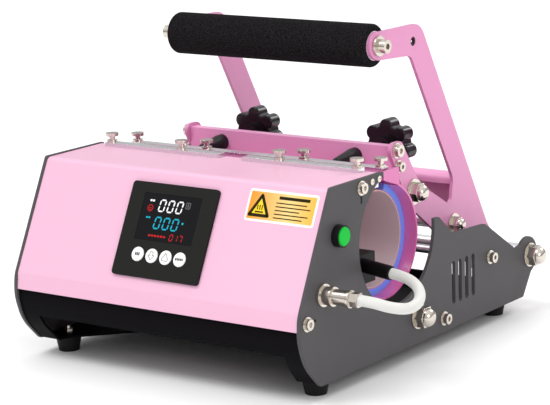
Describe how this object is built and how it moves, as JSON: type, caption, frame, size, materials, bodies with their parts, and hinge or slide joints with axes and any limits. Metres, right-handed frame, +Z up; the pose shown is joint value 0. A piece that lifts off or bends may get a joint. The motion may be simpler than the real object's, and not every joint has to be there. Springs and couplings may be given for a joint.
{
  "type": "tumbler heat press",
  "caption": "Tumbler heat press: slope-fronted control box and two hinged half-ring heating mats between side plates, closed by a foam-gripped lever with star pressure knobs.",
  "frame": {"origin": "middle of the footprint between the plates' outermost edges, on the surface that the feet stand on", "axes": "+X to the right as seen by the user at the control panel, along the heating cavity; +Y from the front to the back; +Z up"},
  "size_m": [0.3898, 0.3798, 0.2822],
  "materials": {
    "pink_paint": "smooth powder coat",
    "grey_paint": "fine-textured powder coat",
    "black_paint": "satin black powder coat",
    "black_oxide": "blackened screw",
    "steel": "bright rolled sheet",
    "nickel": "nickel plate",
    "bronze": "turned, oiled",
    "blue_silicone": "matt moulded silicone",
    "black_plastic": "matt moulded",
    "circuit_board": "solder mask",
    "screen": "smooth tinted window",
    "white_plastic": "satin moulded",
    "green_plastic": "gloss moulded",
    "label": "printed film",
    "black_foam": "closed-cell foam",
    "black_rubber": "matt moulded",
    "cable_sleeve": "woven glass sleeve"
  },
  "bodies": {
    "frame": {"right_side_plate": "grey_paint", "left_side_plate": "grey_paint", "front_cover": "pink_paint", "frame_brackets": "steel", "base_tray": "black_paint", "electronics_shelf": "black_paint", "rubber_feet": "black_rubber", "foot_bolts": "nickel", "front_half_shell": "pink_paint", "front_heater": "blue_silicone", "front_clamp_bars": "steel", "front_bar_posts": "nickel", "frame_axles": "nickel", "axle_cap_nuts": "nickel", "axle_spacers": "nickel", "tie_rods": "steel", "plate_screws": "nickel", "plate_washers": "nickel", "control_panel": "black_plastic", "display_window": "screen", "controller_housing": "black_plastic", "controller_board": "circuit_board", "info_label": "label", "solid_state_relay": "black_plastic", "power_inlet": "black_plastic", "power_switch_frame": "black_plastic", "green_button_bezel": "black_plastic", "heater_socket": "nickel", "heater_plug": "nickel", "heater_lead": "cable_sleeve", "lead_boot": "black_rubber"},
    "lever": {"right_lever_arm": "pink_paint", "left_lever_arm": "pink_paint", "lever_bushes": "bronze", "lever_cross_plate": "pink_paint", "lever_tie_rod": "steel", "lever_bolts": "nickel", "elbow_set_screws": "black_oxide", "lever_cap_nuts": "nickel", "lever_washers": "nickel", "grip_tube": "steel", "foam_grip": "black_foam"},
    "rear_clamp": {"rear_half_shell": "pink_paint", "rear_heater": "blue_silicone", "rear_clamp_bar": "steel", "rear_bar_posts": "nickel", "clamp_hinge_arms": "steel"},
    "link": {"crossbar": "pink_paint", "link_plates": "pink_paint", "link_bolts_and_nuts": "nickel"},
    "left_knob": {"left_star_knob": "black_plastic"},
    "right_knob": {"right_star_knob": "black_plastic"},
    "left_pad": {"left_pressure_pad": "black_plastic"},
    "right_pad": {"right_pressure_pad": "black_plastic"},
    "set_button": {"set_button": "white_plastic"},
    "down_button": {"down_button": "white_plastic"},
    "up_button": {"up_button": "white_plastic"},
    "enter_button": {"enter_button": "white_plastic"},
    "green_button": {"green_button_cap": "green_plastic"},
    "power_rocker": {"power_rocker": "black_plastic"}
  },
  "joints": [
    {"name": "lever_hinge", "type": "hinge", "parent": "frame", "child": "lever", "pos_m": [0, 0.1756, 0.05], "axis": [1, 0, 0], "range_deg": [-25, 0]},
    {"name": "clamp_hinge", "type": "hinge", "parent": "frame", "child": "rear_clamp", "pos_m": [0, -0.0164, 0.037], "axis": [1, 0, 0], "range_deg": [-18.7, 0]},
    {"name": "link_hinge", "type": "hinge", "parent": "rear_clamp", "child": "link", "pos_m": [0, -0.0191, 0.164], "axis": [1, 0, 0], "range_deg": [0, 65.8]},
    {"name": "left_knob_turn", "type": "hinge", "parent": "link", "child": "left_knob", "pos_m": [-0.072, 0.0656, 0.164], "axis": [0, 1, 0], "range_deg": [0, 720]},
    {"name": "left_pad_slide", "type": "slide", "parent": "link", "child": "left_pad", "axis": [0, 1, 0], "range_m": [0, 0.0025]},
    {"name": "right_knob_turn", "type": "hinge", "parent": "link", "child": "right_knob", "pos_m": [0.072, 0.0656, 0.164], "axis": [0, 1, 0], "range_deg": [0, 720]},
    {"name": "right_pad_slide", "type": "slide", "parent": "link", "child": "right_pad", "axis": [0, 1, 0], "range_m": [0, 0.0025]},
    {"name": "set_button_press", "type": "slide", "parent": "frame", "child": "set_button", "axis": [0, 0.8948, -0.4464], "range_m": [0, 0.0009], "stiffness_N_per_m": 400, "springref_m": -0.0005},
    {"name": "down_button_press", "type": "slide", "parent": "frame", "child": "down_button", "axis": [0, 0.8948, -0.4464], "range_m": [0, 0.0009], "stiffness_N_per_m": 400, "springref_m": -0.0005},
    {"name": "up_button_press", "type": "slide", "parent": "frame", "child": "up_button", "axis": [0, 0.8948, -0.4464], "range_m": [0, 0.0009], "stiffness_N_per_m": 400, "springref_m": -0.0005},
    {"name": "enter_button_press", "type": "slide", "parent": "frame", "child": "enter_button", "axis": [0, 0.8948, -0.4464], "range_m": [0, 0.0009], "stiffness_N_per_m": 400, "springref_m": -0.0005},
    {"name": "green_button_press", "type": "slide", "parent": "frame", "child": "green_button", "axis": [-1, 0, 0], "range_m": [0, 0.002], "stiffness_N_per_m": 600, "springref_m": -0.001},
    {"name": "power_rocker_tilt", "type": "hinge", "parent": "frame", "child": "power_rocker", "pos_m": [-0.149, -0.1339, 0.1315], "axis": [0, -1, 0], "range_deg": [0, 12]}
  ],
  "couplings": [
    {"joint": "clamp_hinge", "follows": "lever_hinge", "ratio": 0.74611},
    {"joint": "link_hinge", "follows": "lever_hinge", "ratio": -2.629},
    {"joint": "left_pad_slide", "follows": "left_knob_turn", "m_per_rad": 0.00019894},
    {"joint": "right_pad_slide", "follows": "right_knob_turn", "m_per_rad": 0.00019894}
  ]
}
